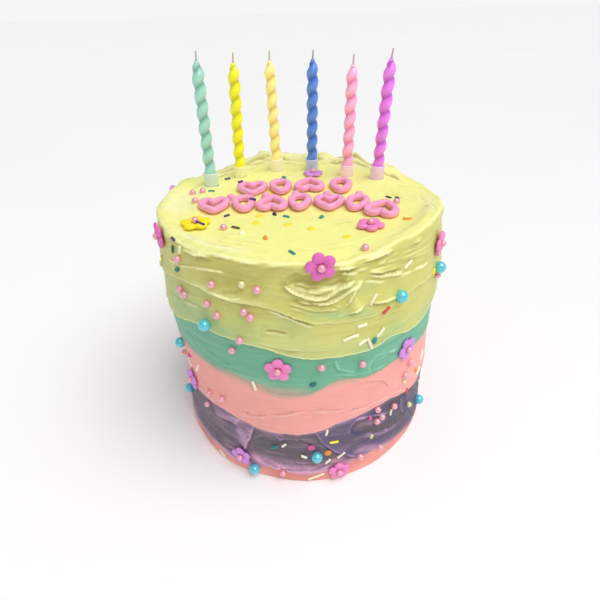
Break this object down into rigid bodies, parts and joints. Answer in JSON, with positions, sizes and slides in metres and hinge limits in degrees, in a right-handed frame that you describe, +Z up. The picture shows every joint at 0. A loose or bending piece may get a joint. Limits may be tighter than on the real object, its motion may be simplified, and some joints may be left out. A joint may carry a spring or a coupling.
{
  "type": "birthday cake",
  "caption": "Tall round iced celebration cake in lemon, teal, pink and lilac bands, topped with twisted candles, sugar flowers, pearls and pink scrollwork; stands on its flat underside.",
  "frame": {"origin": "middle of the cake's flat underside", "axes": "+Z up along the cake's axis, -Y towards the front, +X to the right seen from the front; the candles stand in an arc towards +Y"},
  "size_m": [0.1763, 0.1774, 0.2273],
  "materials": {
    "icing": "soft satin buttercream, lemon with teal, pink and lilac bands",
    "holder": "thin translucent white plastic",
    "wax_mint": "soft wax",
    "wax_yellow": "soft wax",
    "wax_peach": "soft wax",
    "wax_blue": "soft wax",
    "wax_rose": "soft wax",
    "wax_orchid": "soft wax",
    "wick": "waxed cotton",
    "flower_magenta": "moulded sugar paste",
    "flower_pink": "moulded sugar paste",
    "flower_lilac": "moulded sugar paste",
    "flower_lemon": "moulded sugar paste",
    "fondant_pink": "rolled sugar paste"
  },
  "bodies": {
    "root": {"cake": "icing", "holder_mint": "holder", "holder_yellow": "holder", "holder_peach": "holder", "holder_blue": "holder", "holder_rose": "holder", "holder_orchid": "holder", "wax_mint": "wax_mint", "wax_yellow": "wax_yellow", "wax_peach": "wax_peach", "wax_blue": "wax_blue", "wax_rose": "wax_rose", "wax_orchid": "wax_orchid", "wick_mint": "wick", "wick_yellow": "wick", "wick_peach": "wick", "wick_blue": "wick", "wick_rose": "wick", "wick_orchid": "wick", "flower_side_01": "flower_magenta", "flower_side_02": "flower_magenta", "flower_side_03": "flower_pink", "flower_side_04": "flower_pink", "flower_side_05": "flower_lilac", "flower_side_06": "flower_lilac", "flower_side_07": "flower_lilac", "flower_side_08": "flower_pink", "flower_side_09": "flower_lilac", "flower_side_10": "flower_pink", "flower_side_11": "flower_lilac", "flower_side_12": "flower_pink", "flower_top_01": "flower_pink", "flower_top_02": "flower_lilac", "flower_top_03": "flower_lemon", "scroll_upper_1": "fondant_pink", "scroll_upper_2": "fondant_pink", "scroll_upper_3": "fondant_pink", "scroll_upper_4": "fondant_pink", "scroll_lower_1": "fondant_pink", "scroll_lower_2": "fondant_pink", "scroll_lower_3": "fondant_pink", "scroll_lower_4": "fondant_pink", "scroll_lower_5": "fondant_pink", "scroll_lower_6": "fondant_pink", "scroll_lower_7": "fondant_pink", "scroll_bead_1": "fondant_pink", "scroll_bead_2": "fondant_pink", "scroll_bead_3": "fondant_pink", "scroll_bead_4": "fondant_pink", "scroll_bead_5": "fondant_pink"}
  },
  "joints": []
}
